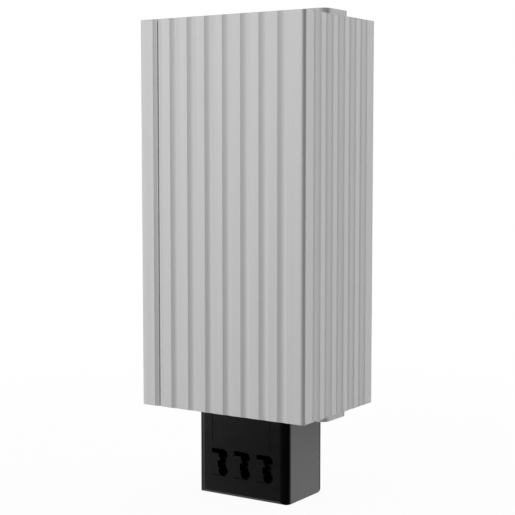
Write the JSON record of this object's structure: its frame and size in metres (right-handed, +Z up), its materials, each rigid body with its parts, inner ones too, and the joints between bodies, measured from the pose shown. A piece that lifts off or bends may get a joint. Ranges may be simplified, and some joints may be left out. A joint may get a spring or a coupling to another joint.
{
  "type": "enclosure heater",
  "caption": "Ribbed aluminium enclosure heater: interlocking extrusions clamp a flat resistor core, with a black terminal housing below and a rail clip on the back.",
  "frame": {"origin": "on the base plane of the terminal housing, under the axis of the heat sink", "axes": "+Z up along the heat sink, +Y to the rail at the back, +X to the right seen from the front"},
  "size_m": [0.07, 0.0548, 0.1768],
  "materials": {
    "anodised_aluminium": "satin anodised extrusion",
    "plate_aluminium": "satin anodised strip",
    "black_plastic": "fine moulded grain",
    "zinc_steel": "zinc plated",
    "spring_steel": "rolled spring steel",
    "clamp_steel": "blackened spring steel",
    "contact_copper": "stamped copper",
    "electrode_brass": "rolled strip",
    "resistor_ceramic": "fired ceramic",
    "frame_ceramic": "pressed ceramic",
    "insulating_sheet": "amber film sheet"
  },
  "bodies": {
    "root": {"front_profile": "anodised_aluminium", "rear_profile": "anodised_aluminium", "end_plate_top": "plate_aluminium", "end_plate_bottom": "plate_aluminium", "plate_screws": "zinc_steel", "resistor_frame": "frame_ceramic", "resistor_1": "resistor_ceramic", "resistor_2": "resistor_ceramic", "resistor_3": "resistor_ceramic", "resistor_4": "resistor_ceramic", "electrode_live": "electrode_brass", "electrode_neutral": "electrode_brass", "insulator_front": "insulating_sheet", "insulator_rear": "insulating_sheet", "terminal_housing": "black_plastic", "housing_lid": "black_plastic", "front_panel": "black_plastic", "contact_live": "contact_copper", "contact_neutral": "contact_copper", "contact_earth": "contact_copper", "spring_live": "clamp_steel", "spring_neutral": "clamp_steel", "spring_earth": "clamp_steel", "earth_screw": "zinc_steel", "rail_clip": "spring_steel", "clip_screws": "zinc_steel"}
  },
  "joints": []
}
